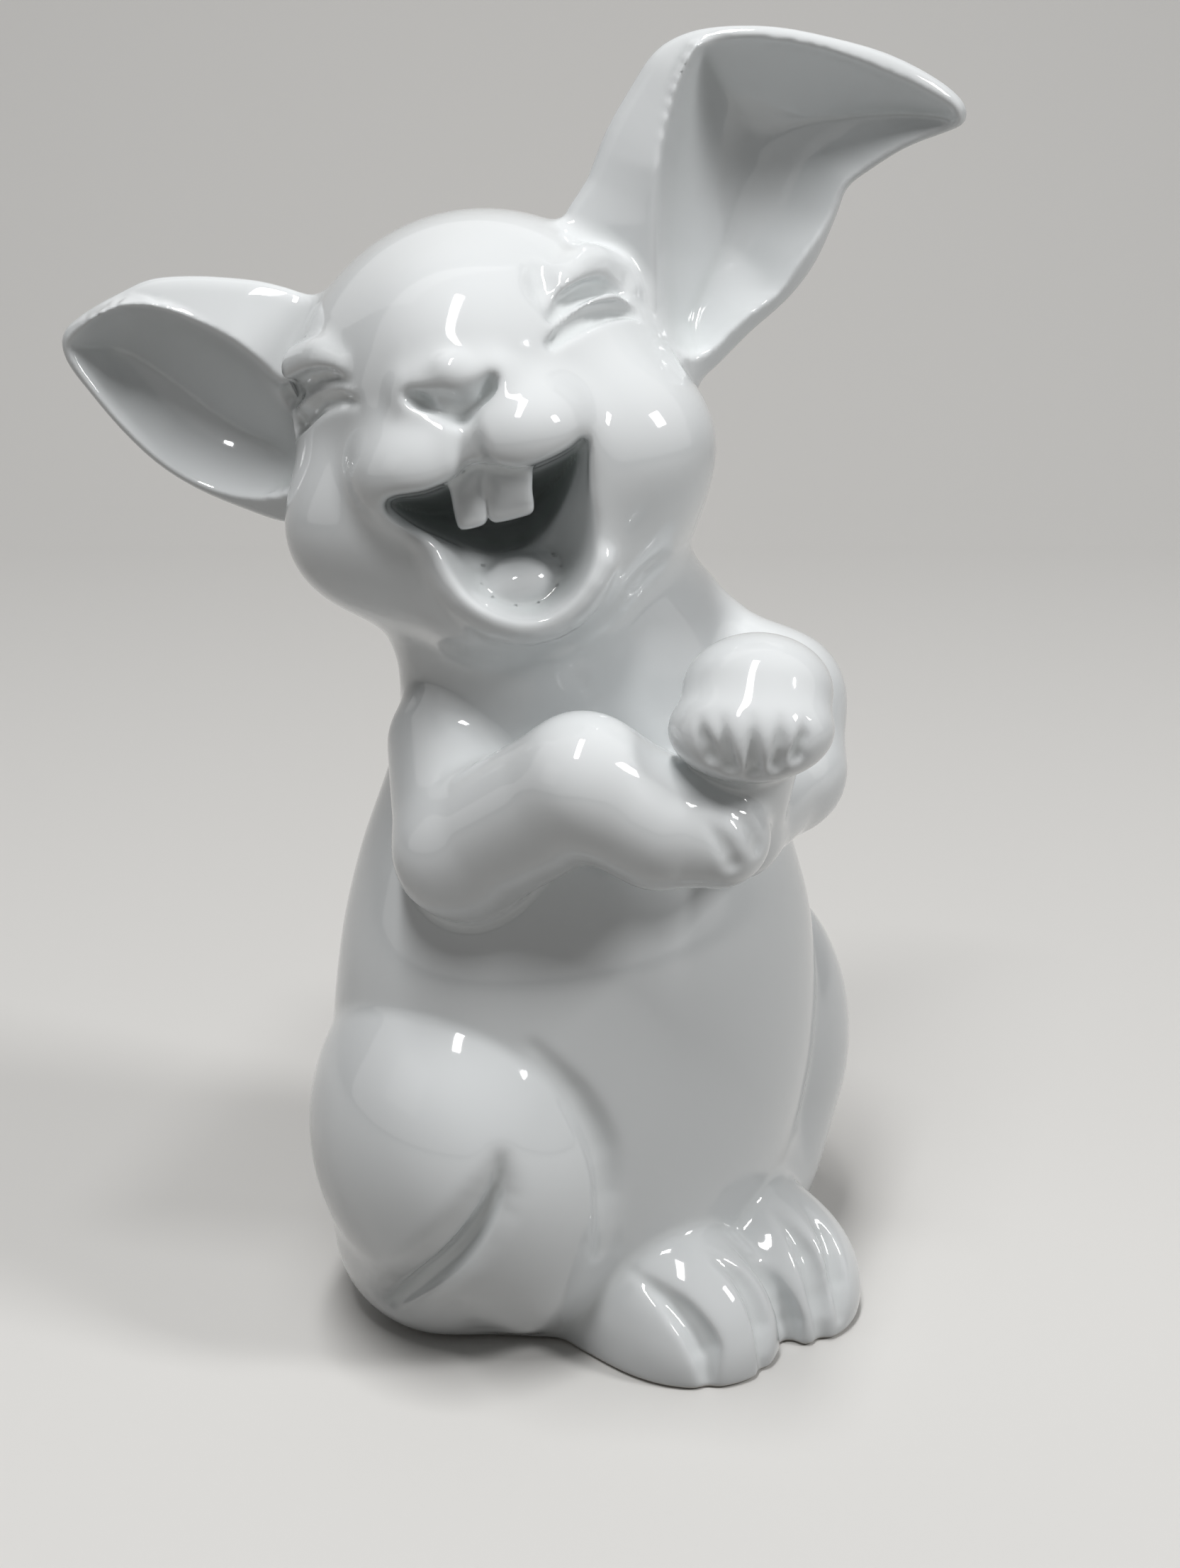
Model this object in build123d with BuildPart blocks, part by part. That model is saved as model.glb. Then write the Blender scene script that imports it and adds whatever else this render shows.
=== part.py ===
from build123d import *
import os

# Ceramic rabbit that sits upright and laughs, made of cast pieces luted together.
# Millimetres. The base lies on the XY plane, -Y is where the face looks, +X is the rabbit's left.

# Torso
TORSO_HEIGHT = 122.0
TORSO_WIDTH = 76.0
TORSO_DEPTH = 62.0
TORSO_WALL = 4.0
VENT_DIAMETER = 8.0
NECK_BORE = 10.0
BODY_TURN = 28.0

# Head
HEAD_WIDTH = 60.0
HEAD_DEPTH = 57.0
HEAD_HEIGHT = 62.0
HEAD_RISE = 135.0
SKULL_CAVITY_WIDTH = 42.0
SKULL_CAVITY_RADIUS = 18.5
HEAD_TURN = -7.5
HEAD_LIFT = -9.0
HEAD_ROLL = -18.5

# Face
MUZZLE_WIDTH = 21.0
MUZZLE_RADIUS = 9.0
BRIDGE_LENGTH = 30.0
BRIDGE_RADIUS = 10.0
JAW_WIDTH = 32.0
JAW_RADIUS = 12.0
NOSE_WIDTH = 11.5
NOSE_HEIGHT = 6.5
NOSE_DEPTH = 7.0
BROW_LENGTH = 20.0
BROW_RADIUS = 3.4
LID_LENGTH = 17.0
LID_RADIUS = 2.8
MOUTH_WIDTH = 28.0
MOUTH_RADIUS = 10.0
TOOTH_WIDTH = 5.4
TOOTH_HEIGHT = 8.0
TOOTH_DEPTH = 3.6
TOOTH_ROUNDING = 0.9
TOOTH_GAP = 0.4
TONGUE_LENGTH = 18.0
TONGUE_RADIUS = 6.5

# Ears
EAR_LENGTH = 52.0
EAR_WIDTH = 34.0
EAR_DEPTH = 17.0
EAR_WALL = 2.8
RIGHT_EAR_ROLL = 167.6
RIGHT_EAR_TILT = -14.0
LEFT_EAR_ROLL = 46.0
LEFT_EAR_TILT = 14.0

# Arms and paws
SHOULDER_RADIUS = 9.5
ELBOW_RADIUS = 9.2
WRIST_RADIUS = 8.4
PAW_RADIUS = 7.6
FIST_RADIUS = 9.8
FINGER_RADIUS = 3.0
FINGER_LENGTH = 11.0
FINGER_REACH = 6.0
FINGER_SPREAD = 4.4

# Legs, feet and tail
THIGH_RADIUS = 28.0
THIGH_WIDTH = 38.0
SHIN_RADIUS = 11.0
SHIN_LENGTH = 42.0
SHIN_LEAN = 10.0
FOOT_LENGTH = 40.0
FOOT_RADIUS = 12.0
FOOT_TURN = 14.0
FOOT_SPACING = 17.0
FOOT_LAG = 3.6
TOE_RADIUS = 5.0
TOE_LENGTH = 26.0
TOE_SPREAD = 6.0
TAIL_RADIUS = 10.5

# How far a cutting block reaches past what it cuts.
OVERRUN = 10.0

# Torso sections from the base up: height, width, depth, shift to the left, shift to the back.
TORSO_SHARES = (
    (0.000, 0.76, 0.80, 0.00, 0.06),
    (0.050, 0.87, 0.90, 0.00, 0.05),
    (0.160, 0.95, 0.98, -0.02, 0.04),
    (0.320, 1.00, 1.00, -0.03, 0.02),
    (0.480, 0.97, 0.97, -0.02, 0.01),
    (0.600, 0.89, 0.89, -0.02, 0.02),
    (0.720, 0.76, 0.77, -0.01, 0.03),
    (0.800, 0.71, 0.73, -0.01, 0.04),
    (0.900, 0.67, 0.70, -0.04, 0.06),
    (1.000, 0.54, 0.60, -0.12, 0.09),
)
CAVITY_BOTTOM_SHARE = 0.05
CAVITY_TOP_SHARE = 0.75

# Head sections from the chin up: height, width, depth, shift to the back.
HEAD_SHARES = (
    (-0.485, 0.26, 0.28, -0.11),
    (-0.420, 0.57, 0.60, -0.09),
    (-0.320, 0.79, 0.80, -0.06),
    (-0.190, 0.95, 0.94, -0.02),
    (-0.060, 1.00, 0.99, 0.00),
    (0.060, 0.98, 1.00, 0.00),
    (0.190, 0.90, 0.96, 0.01),
    (0.320, 0.75, 0.84, 0.02),
    (0.420, 0.55, 0.63, 0.03),
    (0.485, 0.27, 0.32, 0.03),
)
HEAD_AT_SHARES = (-0.145, 0.113)

# Places on the head, as shares of its half width, half depth and half height.
SKULL_CAVITY_SHARES = (0.0, 0.18, 0.14)
MUZZLE_SHARES = (0.27, -0.88, -0.04)
BRIDGE_SHARES = (0.0, -0.70, 0.16)
JAW_SHARES = (0.0, -0.58, -0.62)
NOSE_SHARES = (0.0, -0.98, 0.17)
BROW_SHARES = (0.60, -0.63, 0.50)
LID_SHARES = (0.63, -0.71, 0.29)
MOUTH_SHARES = (0.0, -0.84, -0.54)
TOOTH_SHARES = (0.0, -0.98, -0.26)
TONGUE_SHARES = (0.0, -0.70, -0.68)
RIGHT_EAR_AT_SHARES = (-0.38, 0.18, 0.19)
LEFT_EAR_AT_SHARES = (0.77, 0.31, 0.37)

# Ear sections from the root to the tip: along, across, width, depth. The turns bend the ear, in degrees.
RIGHT_EAR_SECTION_SHARES = (
    (0.00, 0.00, 1.00, 0.80),
    (0.22, 0.00, 1.05, 1.00),
    (0.42, 0.00, 0.97, 1.00),
    (0.62, 0.00, 0.86, 0.90),
    (0.80, 0.00, 0.63, 0.68),
    (0.93, 0.00, 0.34, 0.40),
    (0.99, 0.00, 0.10, 0.12),
)
RIGHT_EAR_TURNS = (0.0, 0.0, 0.0, 0.0, 0.0, 0.0, 0.0)
LEFT_EAR_SECTION_SHARES = (
    (-0.20, 0.02, 0.84, 0.80),
    (0.00, 0.04, 0.98, 0.92),
    (0.29, 0.07, 1.08, 1.00),
    (0.56, 0.15, 1.02, 1.00),
    (0.73, 0.04, 0.72, 0.86),
    (0.85, -0.165, 0.48, 0.64),
    (0.95, -0.35, 0.22, 0.36),
    (0.99, -0.44, 0.06, 0.10),
)
LEFT_EAR_TURNS = (-3.0, -3.0, -2.0, -1.0, -11.0, -22.0, -30.0, -33.0)

# Places on the body, as shares of the torso's width, depth and height.
RIGHT_SHOULDER_SHARES = (-0.30, 0.015, 0.74)
RIGHT_ELBOW_SHARES = (-0.34, -0.24, 0.645)
RIGHT_WRIST_SHARES = (-0.21, -0.50, 0.765)
RIGHT_PAW_SHARES = (-0.03, -0.70, 0.745)
LEFT_SHOULDER_SHARES = (0.27, -0.20, 0.795)
LEFT_ELBOW_SHARES = (0.30, -0.30, 0.675)
LEFT_WRIST_SHARES = (0.10, -0.58, 0.79)
LEFT_PAW_SHARES = (0.01, -0.70, 0.86)
RIGHT_THIGH_SHARES = (-0.36, -0.11, 0.195)
LEFT_THIGH_SHARES = (0.305, 0.02, 0.21)
RIGHT_SHIN_SHARES = (-0.30, -0.36, 0.165)
LEFT_SHIN_SHARES = (0.29, -0.24, 0.120)
RIGHT_FOOT_SHARES = (0.03, -0.38, 0.03)
TAIL_SHARES = (0.0, 0.53, 0.09)
VENT_SHARES = (0.0, 0.20, 0.0)
DRAIN_SHARES = (-0.02, 0.03, 0.66)

# Direction of the eyes' folds, to the side and to the back.
EYE_SLANT_SHARES = (1.0, 0.7)

# A direction steeper than this counts as upright.
UPRIGHT_SHARE = 0.99

# Where a paw leaves its wrist, along the way from wrist to paw.
PAW_START_SHARE = 0.2

# Steps between fingers and between toes, to the side of the middle.
FINGER_STEP_SHARES = (-1.5, -0.5, 0.5, 1.5)
TOE_STEP_SHARES = (-1.5, -0.5, 0.5, 1.5)

BODY = Plane.XY.rotated((0, 0, BODY_TURN))


def body_point(shares, side=1):
    """A point given in shares of the torso's width, depth and height."""
    across, back, up = shares
    local = Vector(side * across * TORSO_WIDTH, back * TORSO_DEPTH, up * TORSO_HEIGHT)
    return BODY.from_local_coords(local)


HEAD_CENTRE = body_point((*HEAD_AT_SHARES, HEAD_RISE / TORSO_HEIGHT))
HEAD = Plane(HEAD_CENTRE).rotated((HEAD_TURN, HEAD_LIFT, HEAD_ROLL), Intrinsic.ZXY)


def head_point(shares, side=1):
    """A point given in shares of the head's half width, half depth and half height."""
    across, back, up = shares
    local = Vector(side * across * HEAD_WIDTH / 2, back * HEAD_DEPTH / 2, up * HEAD_HEIGHT / 2)
    return HEAD.from_local_coords(local)


def along_plane(start, direction):
    """A plane at a point, with its X axis along a direction."""
    upright = Vector(0, 1, 0) if abs(direction.normalized().Z) > UPRIGHT_SHARE else Vector(0, 0, 1)
    return Plane(origin=start, x_dir=direction, z_dir=direction.cross(upright))


def egg(centre, direction, length, radius, mode=Mode.ADD):
    """A closed oval form, round about a direction through its centre, drawn with three tangent arcs."""
    plane = along_plane(centre, direction)
    half = length / 2
    large, small = max(half, radius), min(half, radius)
    tight = small * small / large
    wide = large * (large + small) / (2 * small)
    reach = wide / (wide - tight)
    touch = Vector(large - tight, wide - small) * reach - Vector(0, wide - small)
    if half < radius:
        touch = Vector(touch.Y, touch.X)
    end_radius, side_radius = (tight, wide) if half > radius else (wide, tight)
    with BuildSketch(plane) as profile:
        with BuildLine():
            RadiusArc((-half, 0), (-touch.X, touch.Y), end_radius)
            RadiusArc((-touch.X, touch.Y), touch, side_radius)
            RadiusArc(touch, (half, 0), end_radius)
            Line((half, 0), (-half, 0))
        make_face()
    revolve(profile.sketch, axis=Axis(plane.origin, plane.x_dir), mode=mode)


def limb(start, end, start_radius, end_radius):
    """A tapered limb between two points, with round ends."""
    span = end - start
    plane = along_plane(start, span)
    lean = (start_radius - end_radius) / span.length
    rise = (1 - lean * lean) ** 0.5
    near = Vector(start_radius * lean, start_radius * rise)
    far = Vector(span.length + end_radius * lean, end_radius * rise)
    with BuildSketch(plane) as profile:
        with BuildLine():
            RadiusArc((-start_radius, 0), near, start_radius)
            Line(near, far)
            RadiusArc(far, (span.length + end_radius, 0), end_radius)
            Line((span.length + end_radius, 0), (-start_radius, 0))
        make_face()
    revolve(profile.sketch, axis=Axis(plane.origin, plane.x_dir))


def torso_loft(rows, wall, mode=Mode.ADD):
    """The body through its elliptical sections, drawn in by a wall."""
    sections = []
    for height, width, depth, side, back in rows:
        with BuildSketch(BODY.offset(height * TORSO_HEIGHT)) as section:
            with Locations((side * TORSO_WIDTH, back * TORSO_DEPTH)):
                Ellipse(width * TORSO_WIDTH / 2 - wall, depth * TORSO_DEPTH / 2 - wall)
        sections.append(section.sketch)
    loft(sections, mode=mode)


def ear_loft(plane, rows, turns, inset, shift, mode=Mode.ADD):
    """The leaf form of an ear, from its root to its tip."""
    sections = []
    for (along, across, width, depth), turn in zip(rows, turns):
        turned = plane.moved(Rot(Z=turn))
        centre = plane.from_local_coords(Vector(along * EAR_LENGTH, across * EAR_WIDTH, shift))
        with BuildSketch(Plane(origin=centre, x_dir=turned.y_dir, z_dir=turned.x_dir)) as section:
            Ellipse(width * (EAR_WIDTH / 2 - inset), depth * EAR_DEPTH / 2)
        sections.append(section.sketch)
    loft(sections, mode=mode)


def rest_on_floor():
    """Everything below the floor is cut away."""
    split(bisect_by=Plane.XY, keep=Keep.TOP)


# Outer form of the torso, which the other pieces are luted to.
with BuildPart() as torso_form:
    torso_loft(TORSO_SHARES, 0)

# Outer form of the head: skull, jaw, muzzle pads, bridge, nose, brows and lower lids.
with BuildPart() as head_form:
    for height, width, depth, back in HEAD_SHARES:
        with BuildSketch(HEAD.offset(height * HEAD_HEIGHT)):
            with Locations((0, back * HEAD_DEPTH)):
                Ellipse(width * HEAD_WIDTH / 2, depth * HEAD_DEPTH / 2)
    loft()
    egg(head_point(JAW_SHARES), HEAD.x_dir, JAW_WIDTH, JAW_RADIUS)
    egg(head_point(BRIDGE_SHARES), HEAD.z_dir, BRIDGE_LENGTH, BRIDGE_RADIUS)
    for side in (-1, 1):
        egg(head_point(MUZZLE_SHARES, side), HEAD.x_dir, MUZZLE_WIDTH, MUZZLE_RADIUS)
        slant = HEAD.x_dir * EYE_SLANT_SHARES[0] + HEAD.y_dir * side * EYE_SLANT_SHARES[1]
        egg(head_point(BROW_SHARES, side), slant, BROW_LENGTH, BROW_RADIUS)
        egg(head_point(LID_SHARES, side), slant, LID_LENGTH, LID_RADIUS)
    nose_plane = Plane(head_point(NOSE_SHARES), x_dir=HEAD.x_dir, z_dir=-HEAD.y_dir)
    with BuildSketch(nose_plane):
        with BuildLine():
            Polyline(
                (-NOSE_WIDTH / 2, NOSE_HEIGHT / 2),
                (NOSE_WIDTH / 2, NOSE_HEIGHT / 2),
                (0, -NOSE_HEIGHT / 2),
                close=True,
            )
        make_face()
    extrude(amount=NOSE_DEPTH)

# Line of the drain that joins the hollow of the torso with the hollow of the skull.
drain_start = body_point(DRAIN_SHARES)
drain_span = head_point(SKULL_CAVITY_SHARES) - drain_start
with BuildSketch(Plane(drain_start, z_dir=drain_span)) as drain:
    Circle(NECK_BORE / 2)

# Head with its open mouth, the hollow of the skull and the drain to the torso.
with BuildPart() as head:
    add(head_form.part)
    egg(head_point(MOUTH_SHARES), HEAD.x_dir, MOUTH_WIDTH, MOUTH_RADIUS, Mode.SUBTRACT)
    egg(head_point(SKULL_CAVITY_SHARES), HEAD.x_dir, SKULL_CAVITY_WIDTH, SKULL_CAVITY_RADIUS, Mode.SUBTRACT)
    extrude(drain.sketch, amount=drain_span.length, mode=Mode.SUBTRACT)

# Torso shell on its flat base, with the seat of the head and the vent in the base.
with BuildPart() as torso:
    add(torso_form.part)
    add(head_form.part, mode=Mode.SUBTRACT)
    inside = [row for row in TORSO_SHARES if CAVITY_BOTTOM_SHARE <= row[0] <= CAVITY_TOP_SHARE]
    torso_loft(inside, TORSO_WALL, Mode.SUBTRACT)
    extrude(drain.sketch, amount=drain_span.length, mode=Mode.SUBTRACT)
    with Locations(body_point(VENT_SHARES)):
        Cylinder(VENT_DIAMETER / 2, 2 * OVERRUN, mode=Mode.SUBTRACT)


def ear(place, roll, tilt, rows, turns):
    """A scooped ear that opens towards the viewer, seated on the head."""
    upright = Plane(head_point(place), x_dir=Plane.XZ.x_dir, z_dir=Plane.XZ.z_dir)
    plane = upright.moved(Rot(Z=roll) * Rot(X=tilt))
    with BuildPart() as piece:
        ear_loft(plane, rows, turns, 0, 0)
        ear_loft(plane, rows, turns, EAR_WALL, EAR_WALL, Mode.SUBTRACT)
        add(head_form.part, mode=Mode.SUBTRACT)
    return piece


right_ear = ear(
    RIGHT_EAR_AT_SHARES, RIGHT_EAR_ROLL, RIGHT_EAR_TILT, RIGHT_EAR_SECTION_SHARES, RIGHT_EAR_TURNS
)
left_ear = ear(LEFT_EAR_AT_SHARES, LEFT_EAR_ROLL, LEFT_EAR_TILT, LEFT_EAR_SECTION_SHARES, LEFT_EAR_TURNS)

# Teeth, two solids that hang from the roof of the mouth.
with BuildPart() as upper_incisors:
    for side in (-1, 1):
        tooth_plane = Plane(head_point(TOOTH_SHARES), x_dir=HEAD.x_dir, z_dir=HEAD.z_dir)
        with BuildSketch(tooth_plane.offset(-TOOTH_HEIGHT / 2)):
            with Locations((side * (TOOTH_WIDTH + TOOTH_GAP) / 2, 0)):
                RectangleRounded(TOOTH_WIDTH, TOOTH_DEPTH, TOOTH_ROUNDING)
        extrude(amount=TOOTH_HEIGHT)
    add(head.part, mode=Mode.SUBTRACT)

# Tongue on the floor of the mouth.
with BuildPart() as tongue:
    egg(head_point(TONGUE_SHARES), HEAD.x_dir, TONGUE_LENGTH, TONGUE_RADIUS)
    add(head.part, mode=Mode.SUBTRACT)


def arm(shoulder, elbow, wrist):
    """Upper arm and forearm, luted to the torso."""
    with BuildPart() as piece:
        limb(body_point(shoulder), body_point(elbow), SHOULDER_RADIUS, ELBOW_RADIUS)
        limb(body_point(elbow), body_point(wrist), ELBOW_RADIUS, WRIST_RADIUS)
        add(torso_form.part, mode=Mode.SUBTRACT)
        add(head_form.part, mode=Mode.SUBTRACT)
    return piece


right_arm = arm(RIGHT_SHOULDER_SHARES, RIGHT_ELBOW_SHARES, RIGHT_WRIST_SHARES)
left_arm = arm(LEFT_SHOULDER_SHARES, LEFT_ELBOW_SHARES, LEFT_WRIST_SHARES)

# Right paw, which hangs from its wrist in front of the chest, with its fingers side by side.
with BuildPart() as right_paw:
    wrist = body_point(RIGHT_WRIST_SHARES)
    palm = body_point(RIGHT_PAW_SHARES)
    reach = (palm - wrist).normalized()
    across = reach.cross(BODY.y_dir).normalized()
    limb(wrist + (palm - wrist) * PAW_START_SHARE, palm, WRIST_RADIUS, PAW_RADIUS)
    for step in FINGER_STEP_SHARES:
        tip = palm + reach * PAW_RADIUS / 2 + across * step * FINGER_SPREAD
        egg(tip, reach, FINGER_LENGTH, FINGER_RADIUS)
    add(right_arm.part, mode=Mode.SUBTRACT)
    add(left_arm.part, mode=Mode.SUBTRACT)
    add(torso_form.part, mode=Mode.SUBTRACT)

# Left paw, a closed fist held out to the viewer, with its fingers bent down.
with BuildPart() as left_paw:
    fist = body_point(LEFT_PAW_SHARES)
    with Locations(fist):
        Sphere(FIST_RADIUS)
    for step in FINGER_STEP_SHARES:
        knuckle = fist + Plane.XZ.x_dir * step * FINGER_SPREAD + Plane.XZ.z_dir * (FIST_RADIUS - FINGER_RADIUS)
        limb(knuckle, knuckle - Plane.XZ.y_dir * FINGER_REACH, FINGER_RADIUS, FINGER_RADIUS)
    for neighbour in (left_arm, right_arm, right_paw, torso_form, head_form):
        add(neighbour.part, mode=Mode.SUBTRACT)


def haunch(thigh, shin, *neighbours):
    """Thigh, knee and shin of one hind leg, luted to the torso."""
    leaning = BODY.moved(Rot(X=SHIN_LEAN))
    with BuildPart() as piece:
        egg(body_point(thigh), BODY.x_dir, THIGH_WIDTH, THIGH_RADIUS)
        egg(body_point(shin), leaning.z_dir, SHIN_LENGTH, SHIN_RADIUS)
        rest_on_floor()
        for neighbour in (torso_form, *neighbours):
            add(neighbour.part, mode=Mode.SUBTRACT)
    return piece


def foot(spacing, lag, *neighbours):
    """Long hind foot with four toes, beside or behind the place of the right one."""
    facing = BODY.moved(Rot(Z=FOOT_TURN))
    middle = body_point(RIGHT_FOOT_SHARES) + facing.x_dir * spacing + facing.y_dir * lag
    ahead = -facing.y_dir * (FOOT_LENGTH - TOE_LENGTH) / 2
    with BuildPart() as piece:
        egg(middle, facing.y_dir, FOOT_LENGTH, FOOT_RADIUS)
        for step in TOE_STEP_SHARES:
            egg(middle + ahead + facing.x_dir * step * TOE_SPREAD, facing.y_dir, TOE_LENGTH, TOE_RADIUS)
        rest_on_floor()
        for neighbour in (torso_form, *neighbours):
            add(neighbour.part, mode=Mode.SUBTRACT)
    return piece


right_haunch = haunch(RIGHT_THIGH_SHARES, RIGHT_SHIN_SHARES)
right_foot = foot(0, 0, right_haunch)
left_foot = foot(FOOT_SPACING, FOOT_LAG, right_haunch, right_foot)
left_haunch = haunch(LEFT_THIGH_SHARES, LEFT_SHIN_SHARES, right_foot, left_foot)

# Tail at the back, close to the floor.
with BuildPart() as tail:
    with Locations(body_point(TAIL_SHARES)):
        Sphere(TAIL_RADIUS)
    rest_on_floor()
    for neighbour in (torso_form, right_haunch, left_haunch):
        add(neighbour.part, mode=Mode.SUBTRACT)

pieces = {
    "torso": torso,
    "head": head,
    "right_ear": right_ear,
    "left_ear": left_ear,
    "upper_incisors": upper_incisors,
    "tongue": tongue,
    "right_arm": right_arm,
    "left_arm": left_arm,
    "right_paw": right_paw,
    "left_paw": left_paw,
    "right_haunch": right_haunch,
    "left_haunch": left_haunch,
    "right_foot": right_foot,
    "left_foot": left_foot,
    "tail": tail,
}
os.makedirs("parts", exist_ok=True)
for name, piece in pieces.items():
    piece.part.label = name
    export_step(piece.part, f"parts/{name}.step")
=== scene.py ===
"""Porcelain rabbit that sits upright and laughs, modelled in soft clay and fired with a white glaze."""

import math

import bpy
import numpy as np
import openvdb
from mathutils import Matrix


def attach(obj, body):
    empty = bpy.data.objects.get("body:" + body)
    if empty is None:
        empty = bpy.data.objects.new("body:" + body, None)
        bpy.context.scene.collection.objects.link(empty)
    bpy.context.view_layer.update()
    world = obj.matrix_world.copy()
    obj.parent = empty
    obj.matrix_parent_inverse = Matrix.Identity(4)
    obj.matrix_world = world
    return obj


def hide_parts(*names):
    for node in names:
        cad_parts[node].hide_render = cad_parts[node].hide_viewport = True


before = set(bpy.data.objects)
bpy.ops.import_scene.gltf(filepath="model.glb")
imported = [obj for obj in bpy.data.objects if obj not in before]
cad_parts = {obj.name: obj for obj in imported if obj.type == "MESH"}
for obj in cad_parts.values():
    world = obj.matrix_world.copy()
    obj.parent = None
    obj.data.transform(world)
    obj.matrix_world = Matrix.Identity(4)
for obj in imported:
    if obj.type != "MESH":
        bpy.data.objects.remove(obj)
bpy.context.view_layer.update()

bl_info = {
    "name": "Porcelain rabbit",
    "version": (1, 0, 0),
    "blender": (4, 5, 0),
    "location": "View3D > Sidebar > Porcelain",
    "description": "Models a laughing porcelain rabbit over its cast solids",
    "category": "Add Mesh",
}

PIECES = (
    "torso", "head", "right_ear", "left_ear", "right_arm", "right_paw", "left_arm", "left_paw",
    "right_haunch", "left_haunch", "right_foot", "left_foot", "tail", "upper_incisors", "tongue",
)

# Lengths are in millimetres where nothing else is said, and this many make a metre.
MILLIMETRES = 1000.0

# The camera: its picture, focal length and horizon over the middle in pixels, its place and its pitch.
PICTURE_WIDTH = 1665.0
PICTURE_HEIGHT = 2212.0
FOCAL = 3195.0
HORIZON = 1124.0
EYE = (0.0, -321.0, 195.0)
MIDDLE = (PICTURE_WIDTH / 2, PICTURE_HEIGHT / 2)
PITCH = math.atan(HORIZON / FOCAL)

BLOCK_LOW = (-82.0, -54.0, -4.0)
BLOCK_HIGH = (58.0, 44.0, 194.0)
BAND = 4.0
FAR = 8.0

# A line of sight: the depths it runs between and how far it is followed.
SIGHT_NEAR = -75.0
SIGHT_FAR = 60.0
SIGHT_LENGTH = 200.0

# Guards of the sums: no division by nothing, no sample past the last cell, and a first distance to beat.
TINY = 1e-9
LEAST_NORMAL = 1e-6
LEAST_STEEP = 1e-4
LAST_CELL = 1.001
HUGE = 1e12

# How finely lines are drawn: points on a line, on a short one, and for each point of an outline.
LINE_POINTS = 14
SHORT_POINTS = 8
OUTLINE_FINER = 3
EAR_FINER = 4

# A stack of sections: its levels, and its reach from its middle as a share of its size.
STACK_LEVELS = 240
STACK_REACH = 0.75

# A groove rises out of the clay by this share of its softness where it narrows to nothing.
GROOVE_FADE = 0.45


class ClaySizes(bpy.types.PropertyGroup):
    """Sizes of the clay model, in metres."""

    cell: bpy.props.FloatProperty(
        name="Cell", description="Grain of the clay",
        subtype="DISTANCE", default=0.0005, min=0.0003, max=0.002,
    )
    ear_wall: bpy.props.FloatProperty(
        name="Ear wall", description="Thickness of an ear's rim", subtype="DISTANCE", default=0.0028,
    )
    ear_depth: bpy.props.FloatProperty(
        name="Ear depth", description="Depth of an ear's scoop", subtype="DISTANCE", default=0.009,
    )
    mouth_depth: bpy.props.FloatProperty(
        name="Mouth depth", description="Depth of the open mouth", subtype="DISTANCE", default=0.026,
    )
    dish_depth: bpy.props.FloatProperty(
        name="Jaw depth", description="Depth of the lower jaw's hollow", subtype="DISTANCE", default=0.0088,
    )
    fold_depth: bpy.props.FloatProperty(
        name="Eye folds", description="Depth of the folds at the eyes", subtype="DISTANCE", default=0.002,
    )
    toe_depth: bpy.props.FloatProperty(
        name="Toe grooves", description="Depth of the grooves between toes, as a share of their radius",
        subtype="FACTOR", default=1.1, min=0.0, max=2.0,
    )


class GlazeLook(bpy.types.PropertyGroup):
    """Colours of the glaze, the bare clay and the floor, and the glaze's roughness."""

    white: bpy.props.FloatVectorProperty(
        name="Glaze", description="Colour of the glaze",
        subtype="COLOR", size=4, default=(0.80, 0.82, 0.83, 1.0),
    )
    pooled: bpy.props.FloatVectorProperty(
        name="Pooled glaze", description="Colour of the glaze where it pools in folds",
        subtype="COLOR", size=4, default=(0.62, 0.67, 0.66, 1.0),
    )
    biscuit: bpy.props.FloatVectorProperty(
        name="Bare clay", description="Colour of the unglazed base",
        subtype="COLOR", size=4, default=(0.74, 0.71, 0.66, 1.0),
    )
    floor: bpy.props.FloatVectorProperty(
        name="Floor", description="Colour of the floor",
        subtype="COLOR", size=4, default=(0.73, 0.72, 0.70, 1.0),
    )
    gloss: bpy.props.FloatProperty(
        name="Roughness", description="Roughness of the glaze",
        subtype="FACTOR", default=0.07, min=0.0, max=1.0,
    )


def millimetres(name):
    """One of the clay's sizes, in millimetres."""
    return round(getattr(bpy.context.scene.clay_sizes, name) * MILLIMETRES, 3)


def smooth_min(a, b, soft):
    """The smaller of two distances, with the joint filled by a soft fillet."""
    mix = np.clip(0.5 + 0.5 * (b - a) / soft, 0.0, 1.0)
    return b + (a - b) * mix - soft * mix * (1.0 - mix)


def smooth_max(a, b, soft):
    """The larger of two distances, with the edge rounded."""
    return -smooth_min(-a, -b, soft)


def place(u, v, y):
    """The point of the model seen at a place in the picture, at a depth y."""
    a, b = (u - MIDDLE[0]) / FOCAL, (v - MIDDLE[1]) / FOCAL
    run = (y - EYE[1]) / (math.cos(PITCH) - b * math.sin(PITCH))
    return np.array((run * a, y, EYE[2] - run * (math.sin(PITCH) + b * math.cos(PITCH))))


def picture(x, y, z):
    """Where a point is seen in the picture, and the millimetres to a pixel there."""
    ahead = (y - EYE[1]) * math.cos(PITCH) - (z - EYE[2]) * math.sin(PITCH)
    up = (y - EYE[1]) * math.sin(PITCH) + (z - EYE[2]) * math.cos(PITCH)
    return MIDDLE[0] + FOCAL * x / ahead, MIDDLE[1] - FOCAL * up / ahead, ahead / FOCAL


def turned(about, degrees):
    """A turn about one axis."""
    c, s = math.cos(math.radians(degrees)), math.sin(math.radians(degrees))
    if about == "X":
        return np.array(((1, 0, 0), (0, c, -s), (0, s, c)))
    if about == "Y":
        return np.array(((c, 0, s), (0, 1, 0), (-s, 0, c)))
    return np.array(((c, -s, 0), (s, c, 0), (0, 0, 1)))


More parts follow.
